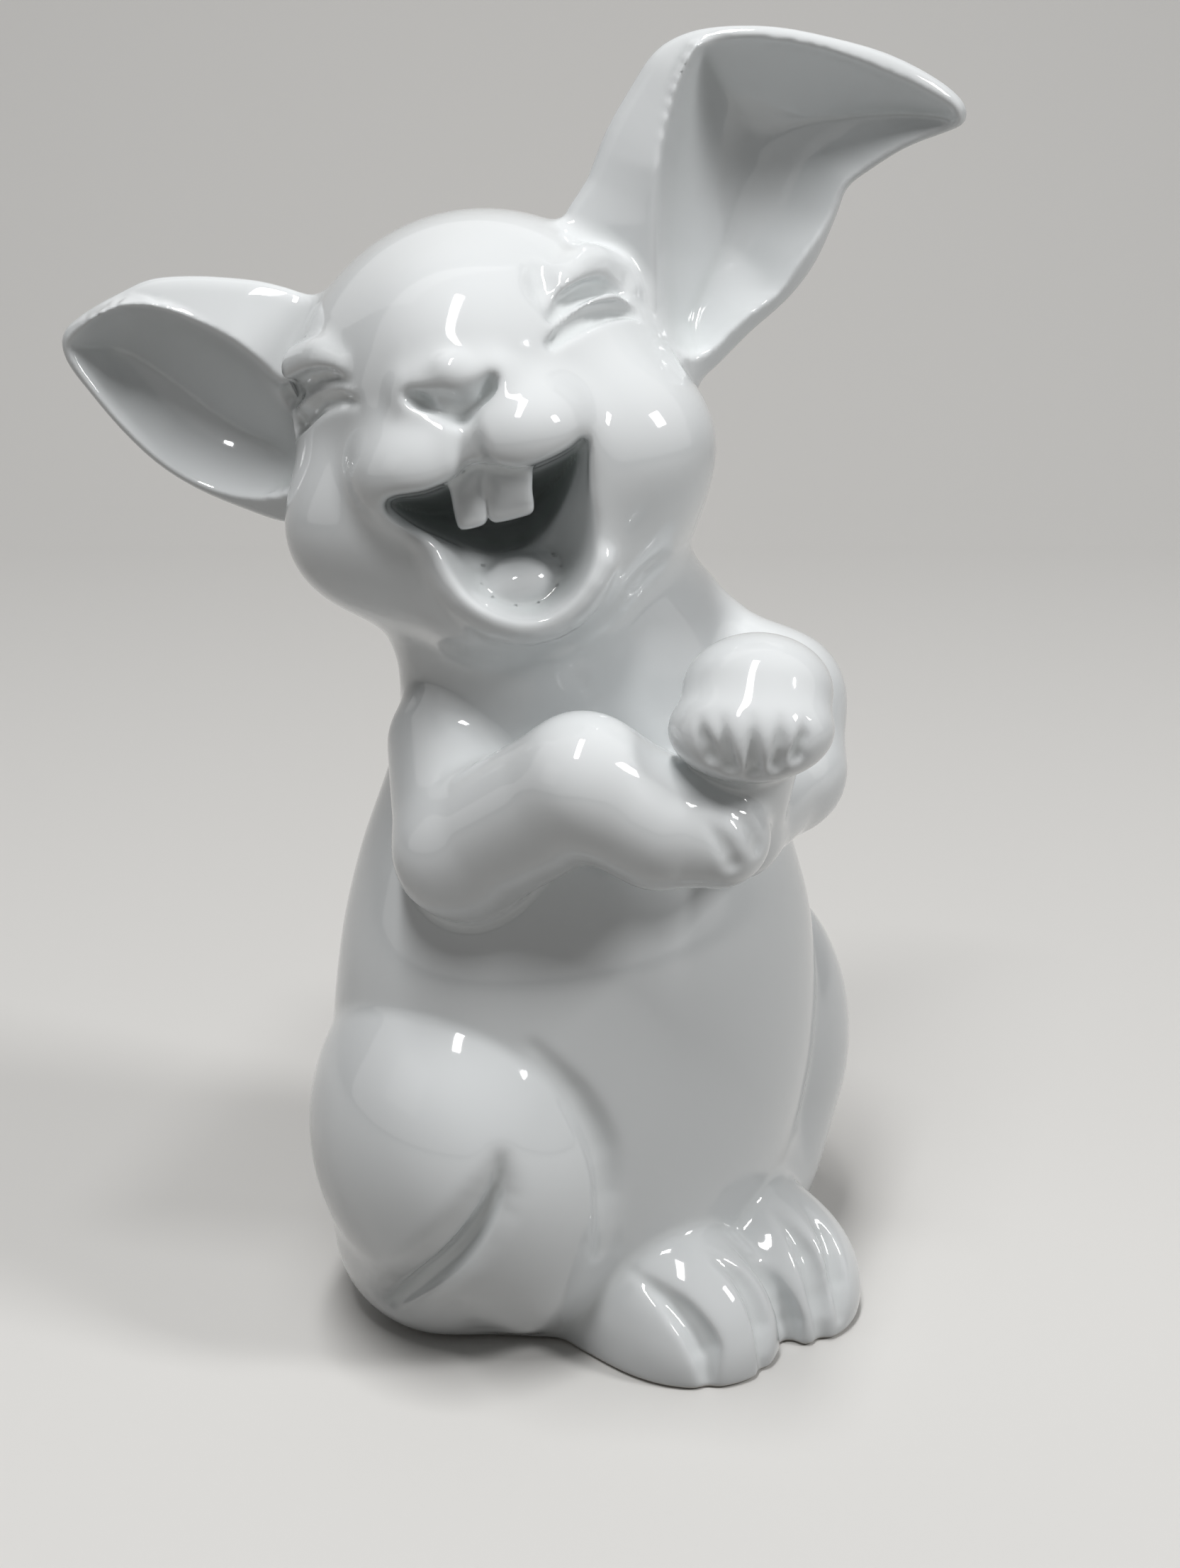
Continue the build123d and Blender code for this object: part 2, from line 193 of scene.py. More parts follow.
# Turns of a plain lump, the body and the head, and the middles of the body and the head.
UPRIGHT = np.eye(3)
ORIGIN = np.zeros(3)
BODY = turned("Z", 28.0)
HEAD = turned("Z", -7.5) @ turned("X", -9.0) @ turned("Y", -18.5)
HEAD_AT = np.array((-13.0, 1.0, 135.0))


def on_head(x, y, z):
    """A point of the head, from its middle: to its left, to its back and up."""
    return HEAD_AT + HEAD @ np.array((x, y, z))


def spread(values, count):
    """Values that are evenly spaced along a line, read at another number of places."""
    return np.interp(np.linspace(0, 1, count), np.linspace(0, 1, len(values)), values)


def flow(points, count, closed=False):
    """A smooth line through points, cubic between each two of them."""
    p = np.array(points, float)
    if closed:
        p = np.concatenate((p[-1:], p, p[:2]))
    else:
        p = np.concatenate((2 * p[:1] - p[1:2], p, 2 * p[-1:] - p[-2:-1]))
    runs = len(p) - 3
    t = np.linspace(0.0, runs, count, endpoint=not closed)
    i = np.minimum(t.astype(int), runs - 1)
    f = (t - i)[:, None]
    a, b, c, d = p[i], p[i + 1], p[i + 2], p[i + 3]
    return 0.5 * (2 * b + (c - a) * f + (2 * a - 5 * b + 4 * c - d) * f**2 + (3 * b - 3 * c + d - a) * f**3)


def unturned(x, y, z, centre, turn):
    """Places in the axes of a turned lump, from its centre."""
    x, y, z = x - centre[0], y - centre[1], z - centre[2]
    return [turn[0, n] * x + turn[1, n] * y + turn[2, n] * z for n in range(3)]


def oval(q, radii):
    """Distance to an oval, which is close to the true one near its surface."""
    near = np.sqrt(sum((a / r) ** 2 for a, r in zip(q, radii)))
    steep = np.sqrt(sum((a / r**2) ** 2 for a, r in zip(q, radii)))
    return near * (near - 1.0) / np.maximum(steep, LEAST_STEEP)


def ball(centre, radii, turn=UPRIGHT):
    """A rounded lump of clay."""
    centre, radii = np.array(centre, float), np.array(radii, float)
    reach = np.sqrt((turn**2) @ radii**2)

    def measure(x, y, z):
        return oval(unturned(x, y, z, centre, turn), radii)

    return centre - reach, centre + reach, measure


def roll(points, radii):
    """A roll of clay along a line, as thick as its radii."""
    points = np.array(points, float)
    radii = spread(radii, len(points))

    def measure(x, y, z):
        best = HUGE
        for a, b, r, s in zip(points[:-1], points[1:], radii[:-1], radii[1:]):
            e = b - a
            w = (x - a[0], y - a[1], z - a[2])
            t = np.clip((w[0] * e[0] + w[1] * e[1] + w[2] * e[2]) / max(e @ e, TINY), 0.0, 1.0)
            gap = np.sqrt(sum((w[n] - t * e[n]) ** 2 for n in range(3))) - (r + (s - r) * t)
            best = np.minimum(best, gap)
        return best

    reach = radii[:, None]
    return (points - reach).min(0), (points + reach).max(0), measure


def stack(rows, size, turn):
    """A body through oval sections: height, width, depth, shift to the left, shift to the back."""
    width, depth, height = size
    rows = np.array(rows, float) * np.array((height, width / 2, depth / 2, width, depth))
    levels = np.linspace(rows[0, 0], rows[-1, 0], STACK_LEVELS)
    fine = flow(rows, STACK_LEVELS)
    table = [np.interp(levels, fine[:, 0], fine[:, n]) for n in range(1, 5)]

    def measure(x, y, z):
        across, along, up = unturned(x, y, z, ORIGIN, turn)
        wide, deep, left, back = (np.interp(up, levels, column) for column in table)
        side = oval((across - left, along - back), (wide, deep))
        ends = np.maximum(up - levels[-1], levels[0] - up)
        return np.maximum(side, ends)

    middle = turn @ np.array((0, 0, (levels[0] + levels[-1]) / 2))
    reach = np.array(size) * STACK_REACH
    return middle - reach, middle + reach, measure


def line_distance(u, v, line):
    """Distance in the picture to an open line."""
    best = np.full(u.shape, HUGE)
    for (ax, ay), (bx, by) in zip(line[:-1], line[1:]):
        ex, ey = bx - ax, by - ay
        wx, wy = u - ax, v - ay
        t = np.clip((wx * ex + wy * ey) / (ex * ex + ey * ey + TINY), 0.0, 1.0)
        best = np.minimum(best, (wx - ex * t) ** 2 + (wy - ey * t) ** 2)
    return np.sqrt(best)


def outline_distance(u, v, outline):
    """Distance in the picture to a closed line, less than zero inside."""
    inside = np.zeros(u.shape, bool)
    for (ax, ay), (bx, by) in zip(outline, np.roll(outline, -1, 0)):
        rise = by - ay if abs(by - ay) > TINY else TINY
        inside ^= ((ay <= v) != (by <= v)) & (u - ax < (bx - ax) * (v - ay) / rise)
    closed = np.concatenate((outline, outline[:1]))
    return np.where(inside, -1.0, 1.0) * line_distance(u, v, closed)


def bowl_share(rim, run):
    """How deep a bowl is inside its rim, from nothing at the rim to one where the run ends."""
    inside = np.clip(-rim / run, 0.0, 1.0)
    return 1.0 - (1.0 - inside) ** 2


def pane(outline, near, far, depths, edge):
    """A slab with an outline as it is seen, between two depth functions, with a rounded edge."""
    outline = flow(outline, OUTLINE_FINER * len(outline), closed=True)
    corners = np.array([place(u, v, y) for u, v in outline for y in (near, far)])

    def measure(x, y, z):
        u, v, scale = picture(x, y, z)
        rim = outline_distance(u, v, outline) * scale
        front, back = depths(u, v, x, z, rim, scale)
        return smooth_max(smooth_max(front - y, y - back, edge), rim, edge)

    low, high = corners.min(0), corners.max(0)
    low[1], high[1] = near, far
    return low, high, measure


class Clay:
    """The figurine as a field of distances on a grid, which lumps are added to and cut from."""

    def __init__(self, low, high, cell):
        self.low, self.cell = np.array(low, float), cell
        shape = tuple(int(math.ceil(n)) for n in (np.array(high) - self.low) / cell)
        self.dist = np.full(shape, FAR, np.float32)
        self.hard = np.full(shape, FAR, np.float32)
        self.owner = np.zeros(shape, np.uint8)

    def window(self, low, high, margin):
        """The part of the grid around a lump."""
        first = np.clip(np.floor((low - margin - self.low) / self.cell).astype(int), 0, self.dist.shape)
        last = np.clip(np.ceil((high + margin - self.low) / self.cell).astype(int), 0, self.dist.shape)
        axes = [self.low[n] + self.cell * np.arange(first[n], last[n]) for n in range(3)]
        x, y, z = np.meshgrid(*axes, indexing="ij")
        return tuple(slice(a, b) for a, b in zip(first, last)), x, y, z

    def add(self, piece, lump, soft):
        """Adds a lump to a piece, and blends it into what is there."""
        low, high, measure = lump
        part, x, y, z = self.window(low, high, BAND + soft)
        d = measure(x, y, z).astype(np.float32)
        self.owner[part][d < self.hard[part]] = PIECES.index(piece)
        self.hard[part] = np.minimum(self.hard[part], d)
        self.dist[part] = smooth_min(self.dist[part], d, soft)

    def cut(self, lump, soft):
        """Cuts a lump away, with a rounded edge."""
        low, high, measure = lump
        part, x, y, z = self.window(low, high, BAND + soft)
        d = -measure(x, y, z).astype(np.float32)
        self.hard[part] = np.maximum(self.hard[part], d)
        self.dist[part] = smooth_max(self.dist[part], d, soft)

    def sample(self, points):
        """The field between the cells."""
        g = np.clip((points - self.low) / self.cell, 0, np.array(self.dist.shape) - LAST_CELL)
        i = g.astype(int)
        f = g - i
        total = 0.0
        for n in range(8):
            step = np.array((n & 1, n >> 1 & 1, n >> 2 & 1))
            weight = np.prod(np.where(step, f, 1 - f), axis=-1)
            total = total + weight * self.dist[tuple(np.moveaxis(i + step, -1, 0))]
        return total

    def slope(self, points):
        """The direction in which the field grows, not made unit length."""
        steps = np.eye(3) * self.cell
        rises = [self.sample(points + s) - self.sample(points - s) for s in steps]
        return np.stack(rises, -1) / (2 * self.cell)

    def normal(self, points):
        """The direction out of the clay."""
        n = self.slope(points)
        return n / np.maximum(np.linalg.norm(n, axis=-1, keepdims=True), LEAST_NORMAL)

    def seen(self, u, v):
        """The place of the surface that is seen at a place in the picture, or that comes closest to it."""
        start = place(u, v, SIGHT_NEAR)
        along = place(u, v, SIGHT_FAR) - start
        run = np.arange(0.0, SIGHT_LENGTH, self.cell * 0.5)
        points = start + run[:, None] * (along / np.linalg.norm(along))
        gap = self.sample(points)
        inside = np.flatnonzero(gap < 0.0)
        return points[inside[0] if len(inside) else np.argmin(gap)]

    def seen_line(self, points, count=LINE_POINTS):
        """A line on the surface, from places in the picture."""
        return np.array([self.seen(u, v) for u, v in flow(points, count)])

    def seen_plane(self, marks):
        """The slant of a plane through three places in the picture, each sunk into the surface."""
        rows = np.array([(u, v, 1.0) for u, v, sunk in marks])
        depths = np.array([self.seen(u, v)[1] + sunk for u, v, sunk in marks])
        return np.linalg.solve(rows, depths)

    def press(self, line, radii, depth, soft):
        """Presses a groove along a line on the surface, which fades where it is narrow."""
        radii = spread(radii, len(line))
        fade = GROOVE_FADE * soft * (1.0 - radii / max(radii))
        sunk = line + self.normal(line) * (radii * (1.0 - depth / max(radii)) + fade)[:, None]
        self.cut(roll(sunk, radii), soft)

    def lay(self, piece, line, radii, height, soft):
        """Lays a roll along a line on the surface."""
        radii = spread(radii, len(line))
        raised = line - self.normal(line) * (radii * (1.0 - height / max(radii)))[:, None]
        self.add(piece, roll(raised, radii), soft)

    def soften(self):
        """Softens the clay as a sponge does."""
        for axis in range(3):
            inner = [slice(None)] * 3
            before, after = list(inner), list(inner)
            inner[axis], before[axis], after[axis] = slice(1, -1), slice(None, -2), slice(2, None)
            around = self.dist[tuple(before)] + self.dist[tuple(after)]
            self.dist[tuple(inner)] = 0.5 * self.dist[tuple(inner)] + 0.25 * around

    def flatten(self, soft):
        """Cuts the base flat at the floor, with a rounded edge."""
        z = self.low[2] + self.cell * np.arange(self.dist.shape[2], dtype=np.float32)
        below = -np.broadcast_to(z, self.dist.shape)
        self.dist = smooth_max(self.dist, below, soft).astype(np.float32)


clay = None

# The torso's sections, as shares of its width, depth and height, and the tail: middle, radii and blend.
TORSO_SIZE = (76.0, 62.0, 122.0)
TORSO_ROWS = (
    (0.000, 0.76, 0.80, 0.00, 0.06), (0.050, 0.87, 0.90, 0.00, 0.05),
    (0.160, 0.95, 0.98, -0.02, 0.04), (0.320, 1.03, 1.00, -0.02, 0.02),
    (0.480, 0.99, 0.97, -0.02, 0.01), (0.600, 0.89, 0.89, -0.02, 0.02),
    (0.720, 0.76, 0.77, -0.01, 0.03), (0.800, 0.71, 0.73, -0.01, 0.04),
    (0.900, 0.67, 0.70, -0.04, 0.06), (1.000, 0.54, 0.60, -0.12, 0.09),
)
TORSO_BLEND = 1.0
TAIL_AT = BODY @ np.array((0.0, 33.0, 11.0))
TAIL_RADII = (9.0, 9.0, 11.0)
TAIL_TURN = BODY @ turned("X", -14.0)
TAIL_BLEND = 2.0


class CLAY_OT_torso(bpy.types.Operator):
    """Starts a new block of clay with the body and the tail"""

    bl_idname = "clay.torso"
    bl_label = "Torso and tail"

    def execute(self, context):
        global clay
        cell = millimetres("cell")
        clay = Clay(BLOCK_LOW, BLOCK_HIGH, cell)
        clay.add("torso", stack(TORSO_ROWS, TORSO_SIZE, BODY), TORSO_BLEND)
        clay.add("tail", ball(TAIL_AT, TAIL_RADII, TAIL_TURN), TAIL_BLEND)
        return {"FINISHED"}


# Lumps of the head, in its own axes from its middle: middle, radii and blend.
HEAD_LUMPS = {
    "skull": ((-0.8, 1.0, 4.0), (27.6, 28.5, 27.6), 3.0),
    "jowls": ((0.0, 0.0, -8.5), (28.0, 26.5, 22.5), 6.0),
    "jaw": ((0.0, -16.5, -19.0), (15.5, 12.0, 11.0), 5.0),
    "right_cheek": ((-16.5, -11.0, -7.2), (14.8, 14.0, 12.9), 6.0),
    "left_cheek": ((15.4, -11.0, -7.2), (14.8, 14.0, 12.9), 6.0),
    "bridge": ((0.0, -19.0, 5.5), (11.5, 11.5, 15.0), 9.0),
    "right_muzzle": ((-7.0, -25.4, -2.2), (9.4, 9.2, 7.4), 4.5),
    "left_muzzle": ((7.0, -25.4, -2.2), (9.4, 9.2, 7.4), 4.5),
}


class CLAY_OT_head(bpy.types.Operator):
    """Adds the skull with its cheeks, muzzle and jaw"""

    bl_idname = "clay.head"
    bl_label = "Head"

    def execute(self, context):
        for middle, radii, blend in HEAD_LUMPS.values():
            clay.add("head", ball(on_head(*middle), radii, HEAD), blend)
        return {"FINISHED"}


# The rims of the ears' bowls, as places in the picture.
RIGHT_BOWL = (
    (93, 485), (125, 445), (175, 425), (225, 430), (275, 450), (325, 480), (370, 515), (405, 550), (440, 590),
    (450, 650), (405, 690), (340, 695), (285, 682), (235, 655), (185, 611), (135, 556), (100, 508),
)
LEFT_BOWL = (
    (933, 470), (926, 383), (927, 297), (933, 210), (950, 130), (977, 65), (1013, 57), (1093, 60),
    (1173, 77), (1253, 108), (1320, 140), (1347, 162), (1336, 178), (1276, 202), (1213, 240), (1186, 264),
    (1165, 310), (1125, 365), (1097, 408), (1047, 445), (985, 500),
)

# Each ear: its plane is a depth, a slant and the x it starts from, its fold two places and a rise.
EARS = {
    "right_ear": {
        "outline": (
            (450, 425), (385, 398), (320, 389), (260, 387), (210, 392), (170, 410), (130, 432), (95, 458),
            (85, 483), (95, 515), (125, 555), (170, 608), (220, 655), (275, 690), (340, 718), (410, 740),
            (480, 735), (520, 640), (510, 500),
        ),
        "bowl": RIGHT_BOWL,
        "brim": RIGHT_BOWL[1:9],
        "plane": (4.5, -0.13, -58.0),
        "lift": 5.0,
        "fold": None,
        "span": (-4.0, 24.0),
    },
    "left_ear": {
        "outline": (
            (797, 320), (827, 250), (853, 183), (887, 123), (920, 73), (960, 47), (1013, 35), (1093, 35),
            (1173, 50), (1253, 73), (1320, 107), (1357, 137), (1367, 160), (1360, 177), (1340, 187),
            (1280, 210), (1227, 243), (1197, 267), (1183, 303), (1153, 370), (1113, 423), (1060, 470),
            (990, 537), (930, 560), (850, 470),
        ),
        "bowl": LEFT_BOWL,
        "brim": LEFT_BOWL[:6],
        "plane": (2.5, 0.17, 6.0),
        "lift": 4.5,
        "fold": ((977, 67), (1200, 262), 0.35),
        "span": (-8.0, 26.0),
    },
}

# The strip between an ear's outline and its bowl: least width, and the width from which it is fully lifted.
LEAST_STRIP = 0.3
FULL_STRIP = 9.0

# How an ear's bowl runs down, its brim falls off, its fold bends, its edge is rounded and it is blended in.
EAR_RUN = 13.0
BRIM_FALL = 2.5
FOLD_SOFT = 4.0
EAR_EDGE = 2.2
EAR_BLEND = 3.5


class CLAY_OT_ears(bpy.types.Operator):
    """Adds the scooped ear and the folded ear"""

    bl_idname = "clay.ears"
    bl_label = "Ears"

    def execute(self, context):
        for piece, ear in EARS.items():
            self.scoop(piece, **ear)
        return {"FINISHED"}

    def scoop(self, piece, outline, bowl, brim, plane, lift, fold, span):
        """Adds an ear with a bowl in it, whose brim on one side is rolled forward."""
        wall, depth = millimetres("ear_wall"), millimetres("ear_depth")
        bowl = flow(bowl, EAR_FINER * len(bowl), closed=True)
        brim = flow(brim, EAR_FINER * len(brim))
        start, slant, origin = plane

        def depths(u, v, x, z, rim, scale):
            hollow = outline_distance(u, v, bowl) * scale
            rolled = line_distance(u, v, brim) * scale
            inner, outer = np.maximum(-rim, 0.0), np.maximum(hollow, 0.0)
            width = np.maximum(inner + outer, LEAST_STRIP)
            strip = lift * np.minimum(width / FULL_STRIP, 1.0) * np.minimum(inner / width, 1.0)
            scooped = depth * bowl_share(hollow, EAR_RUN) - lift * np.exp(-rolled / BRIM_FALL)
            middle = start + slant * (x - origin)
            front = middle + np.where(hollow > 0.0, -strip, scooped)
            back = middle + wall + depth * bowl_share(rim, EAR_RUN)
            if fold:
                (au, av), (bu, bv), rise = fold
                run = math.hypot(bu - au, bv - av)
                beyond = ((bv - av) * (u - au) - (bu - au) * (v - av)) / run * scale
                bent = rise * smooth_max(beyond, np.zeros_like(beyond), FOLD_SOFT)
                front, back = front - bent, back - bent
            return front, back

        clay.add(piece, pane(outline, *span, depths, EAR_EDGE), EAR_BLEND)


# Lumps of the haunches: piece, middle, radii, turn and blend.
SHIN = BODY @ turned("X", 10.0)
HAUNCH_LUMPS = (
    ("right_haunch", (-19.6, -17.0, 33.5), (22.0, 25.0, 28.0), BODY, 0.8),
    ("right_haunch", (-23.0, -12.0, 13.0), (16.0, 18.5, 15.0), BODY, 5.0),
    ("right_haunch", (-8.7, -26.0, 24.0), (11.5, 11.4, 20.5), SHIN, 4.0),
    ("left_haunch", (25.0, 18.0, 33.0), (17.0, 19.0, 27.0), BODY, 0.9),
    ("left_haunch", (22.8, 14.0, 14.0), (13.6, 17.0, 16.0), BODY, 6.0),
)

# The feet: piece, middle and turn in degrees, then the radii and blends of a foot and of its toes before it.
FEET = (("left_foot", (23.8, -6.4, 3.7), 42.0), ("right_foot", (9.5, -18.5, 3.7), 52.0))
FOOT_RADII = (13.2, 20.5, 17.2)
FOOT_BLEND = 2.0
TOES_AHEAD = np.array((0.0, -7.0, 0.0))
TOES_RADII = (13.3, 14.0, 13.2)
TOES_BLEND = 3.0


class CLAY_OT_legs(bpy.types.Operator):
    """Adds the haunches and the long hind feet"""

    bl_idname = "clay.legs"
    bl_label = "Haunches and feet"

    def execute(self, context):
        for piece, middle, radii, turn, blend in HAUNCH_LUMPS:
            clay.add(piece, ball(middle, radii, turn), blend)
        for piece, middle, degrees in FEET:
            facing = turned("Z", degrees)
            clay.add(piece, ball(middle, FOOT_RADII, facing), FOOT_BLEND)
            toes = np.array(middle) + facing @ TOES_AHEAD
            clay.add(piece, ball(toes, TOES_RADII, facing), TOES_BLEND)
        return {"FINISHED"}


# The joints of the arms: a place in the picture and a depth.
RIGHT_SHOULDER = (640, 1050, -12.0)
RIGHT_ELBOW = (656, 1198, -26.0)
RIGHT_WRIST = (822, 1106, -36.0)
RIGHT_PALM = (930, 1160, -37.0)
RIGHT_TIPS = (1012, 1178, -38.0)
LEFT_COLLAR = (1005, 930, 2.0)
LEFT_SHOULDER = (1088, 990, -3.0)
LEFT_ELBOW = (1100, 1085, -9.0)
LEFT_BEND = (1035, 1170, -27.0)
LEFT_WRIST = (1052, 1050, -34.0)

# Rolls between the joints: piece, joints, radii and blend. Lumps of the closed paw: place, radii and blend.
ARM_ROLLS = (
    ("right_arm", (RIGHT_SHOULDER, RIGHT_ELBOW), (9.5, 9.8), 2.5),
    ("right_arm", (RIGHT_ELBOW, RIGHT_WRIST), (9.6, 9.6), 2.0),
    ("right_paw", (RIGHT_WRIST, RIGHT_PALM, RIGHT_TIPS), (9.0, 9.2, 7.2), 2.0),
    ("left_arm", (LEFT_COLLAR, LEFT_SHOULDER), (9.0, 10.4), 3.0),
    ("left_arm", (LEFT_SHOULDER, LEFT_ELBOW), (10.4, 9.4), 3.0),
    ("left_arm", (LEFT_ELBOW, LEFT_BEND), (9.0, 6.6), 2.5),
    ("left_arm", (LEFT_BEND, LEFT_WRIST), (6.6, 7.6), 2.0),
)
PAW_LUMPS = (
    ((1069, 976, -35.0), (10.0, 9.0, 7.8), 1.2),
    ((1060, 1029, -40.0), (10.9, 8.0, 6.9), 1.8),
)


class CLAY_OT_arms(bpy.types.Operator):
    """Adds the arms that are bent before the chest, and their paws"""

    bl_idname = "clay.arms"
    bl_label = "Arms and paws"

    def execute(self, context):
        for piece, joints, radii, blend in ARM_ROLLS:
            clay.add(piece, roll([place(*joint) for joint in joints], radii), blend)
        for middle, radii, blend in PAW_LUMPS:
            clay.add("left_paw", ball(place(*middle), radii), blend)
        return {"FINISHED"}


# The left eye, as lines in the picture, then its rolls (radii, height, blend) and the radii of its grooves.
LEFT_BROW = ((784, 417), (804, 389), (836, 369), (868, 379), (890, 403))
LEFT_LID = ((786, 468), (812, 448), (838, 433), (865, 424), (884, 428))
LEFT_FOLD = ((778, 449), (802, 424), (830, 408), (855, 403), (880, 414))
LEFT_SLIT = ((776, 486), (804, 466), (830, 451), (855, 441), (880, 437), (898, 443))
LEFT_BROW_ROLL = ((1.5, 3.0, 3.4, 3.0, 1.5), 2.0, 2.0)
LEFT_LID_ROLL = ((0.8, 1.7, 1.9, 1.7, 0.8), 1.1, 0.8)
LEFT_GROOVES = (0.7, 1.3, 1.4, 1.3, 0.7)

# The right eye in the same way. Its brow starts at a depth, beyond the surface that is seen.
RIGHT_BROW_START = (426, 517, -7.0)
RIGHT_BROW = ((452, 506), (482, 517))
RIGHT_BROW_POINTS = 10
RIGHT_LID = ((420, 570), (437, 557), (458, 550), (478, 549), (494, 553))
RIGHT_FOLD = ((402, 562), (422, 546), (446, 535), (468, 533), (490, 540))
RIGHT_SLIT = ((414, 600), (430, 586), (449, 570), (478, 563), (504, 567))
RIGHT_BROW_ROLL = ((3.8, 3.4, 1.6), 2.8, 1.6)
RIGHT_LID_ROLL = ((1.4, 1.8, 1.9, 1.6, 0.8), 1.2, 0.8)
RIGHT_GROOVES = (1.8, 1.7, 1.5, 1.2, 0.6)
EYE_SOFT = 0.8

# Short lines of the face in the picture, each with its groove or roll: radii, depth or height, and blend.
FROWN = ((757, 382), (767, 406), (771, 432))
FROWN_GROOVE = ((0.8, 2.0, 0.8), 0.7, 2.0)
PHILTRUM = ((655, 598), (660, 625), (668, 655))
PHILTRUM_GROOVE = ((0.8, 1.6, 1.8), 1.5, 2.0)
NOSE_RIDGE = ((578, 551), (635, 542), (694, 527))
NOSE_RIDGE_ROLL = ((1.8, 3.0, 1.8), 1.1, 4.0)
NOSTRILS = (((580, 559), (598, 567), (620, 579)), ((695, 536), (688, 552), (676, 572)))
NOSTRIL_GROOVE = ((0.6, 1.2, 0.5), 1.2, 0.8)
NOSE_TIP = ((646, 526), (635, 547), (625, 566))
NOSE_TIP_ROLL = ((2.6, 2.3, 1.0), 0.35, 1.6)
LOWER_LIP = ((604, 765), (628, 806), (664, 850), (715, 879), (769, 882), (820, 852), (852, 798))
LOWER_LIP_ROLL = ((1.6, 2.8, 3.2, 2.8, 1.6), 1.7, 2.5)

# The nose's flat front: its outline, three places on it with how far each is sunk, edge and blend.
NOSE = (
    (574, 556), (605, 553), (640, 547), (670, 540), (698, 531), (690, 552), (674, 575), (655, 597),
    (630, 588), (600, 573),
)
NOSE_MARKS = ((576, 556, 0.8), (697, 531, 0.8), (654, 598, 3.0))
NOSE_BACK = -10.0
NOSE_EDGE = 1.2
NOSE_BLEND = 2.2

# Depths before the face: where a cut's window starts, and the front that it is open to.
CUT_NEAR = -60.0
CUT_FRONT = -62.0


def slanted(slant, u, v):
    """The depth of a slanted plane at a place in the picture."""
    return slant[0] * u + slant[1] * v + slant[2]


class CLAY_OT_face(bpy.types.Operator):
    """Models the folds of the laughing eyes, the nose and the lower lip"""

    bl_idname = "clay.face"
    bl_label = "Eyes, nose and lip"

    def execute(self, context):
        brow = clay.seen_line(LEFT_BROW)
        self.eye(brow, LEFT_BROW_ROLL, LEFT_LID, LEFT_LID_ROLL, (LEFT_FOLD, LEFT_SLIT), LEFT_GROOVES)
        clay.press(clay.seen_line(FROWN, SHORT_POINTS), *FROWN_GROOVE)
        brow = [place(*RIGHT_BROW_START)] + [clay.seen(u, v) for u, v in RIGHT_BROW]
        brow = flow(brow, RIGHT_BROW_POINTS)
        self.eye(brow, RIGHT_BROW_ROLL, RIGHT_LID, RIGHT_LID_ROLL, (RIGHT_FOLD, RIGHT_SLIT), RIGHT_GROOVES)
        clay.press(clay.seen_line(PHILTRUM, SHORT_POINTS), *PHILTRUM_GROOVE)
        clay.lay("head", clay.seen_line(NOSE_RIDGE, SHORT_POINTS), *NOSE_RIDGE_ROLL)
        slant = clay.seen_plane(NOSE_MARKS)

        def front(u, v, x, z, rim, scale):
            return CUT_FRONT, slanted(slant, u, v)

        clay.cut(pane(NOSE, CUT_NEAR, NOSE_BACK, front, NOSE_EDGE), NOSE_BLEND)
        for nostril in NOSTRILS:
            clay.press(clay.seen_line(nostril, SHORT_POINTS), *NOSTRIL_GROOVE)
        clay.lay("head", clay.seen_line(NOSE_TIP, SHORT_POINTS), *NOSE_TIP_ROLL)
        clay.lay("head", clay.seen_line(LOWER_LIP), *LOWER_LIP_ROLL)
        return {"FINISHED"}

    def eye(self, brow, brow_roll, lid, lid_roll, grooves, radii):
        """Lays the brow and the lid of a closed eye, and presses the grooves beside them."""
        lid = clay.seen_line(lid)
        clay.lay("head", brow, *brow_roll)
        clay.lay("head", lid, *lid_roll)
        lines = [clay.seen_line(groove) for groove in grooves]
        for line in lines:
            clay.press(line, radii, millimetres("fold_depth"), EYE_SOFT)


# The mouth: the outlines of the lips and of the gap behind the teeth, and three places on the lower lip.
LIPS = (
    (548, 708), (600, 697), (640, 680), (668, 657), (700, 660), (735, 665), (780, 650), (810, 634),
    (826, 622), (829, 660), (831, 700), (840, 745), (839, 795), (812, 845), (765, 876), (715, 872),
    (665, 845), (630, 800), (606, 757), (565, 738),
)
GAP = (
    (548, 708), (600, 697), (640, 680), (668, 657), (735, 665), (780, 650), (808, 634), (823, 621),
    (819, 652), (807, 692), (784, 738), (748, 776), (700, 786), (660, 776), (620, 758), (580, 738),
)
LIP_MARKS = ((596, 770, 0.0), (718, 890, 0.0), (858, 800, 0.0))

# Depths of the mouth's front and of the throat's rim, how the jaw and the throat run down, and the edge.
MOUTH_FRONT = -27.0
THROAT_RIM = -20.0
JAW_RUN = 8.0
THROAT_RUN = 5.0
MOUTH_EDGE = 1.6

# The tongue: place, radii and blend.
TONGUE_AT = (724, 828, -19.6)
TONGUE_RADII = (7.6, 7.0, 4.4)
TONGUE_BLEND = 1.6

# The front teeth: outlines, the depths of their front (at a height, with a lean) and back, edge and blend.
TEETH = (
    ((632, 660), (636, 700), (645, 742), (653, 748), (680, 742), (686, 736), (683, 700), (679, 650)),
    ((685, 650), (689, 700), (693, 733), (700, 738), (745, 727), (754, 719), (751, 690), (746, 650)),
)
TOOTH_FRONT = -27.6
TOOTH_HEIGHT = 128.0
TOOTH_LEAN = 0.1
TOOTH_BACK = -23.0
TOOTH_SPAN = (-30.0, -22.0)
TOOTH_EDGE = 1.0
TOOTH_BLEND = 0.4


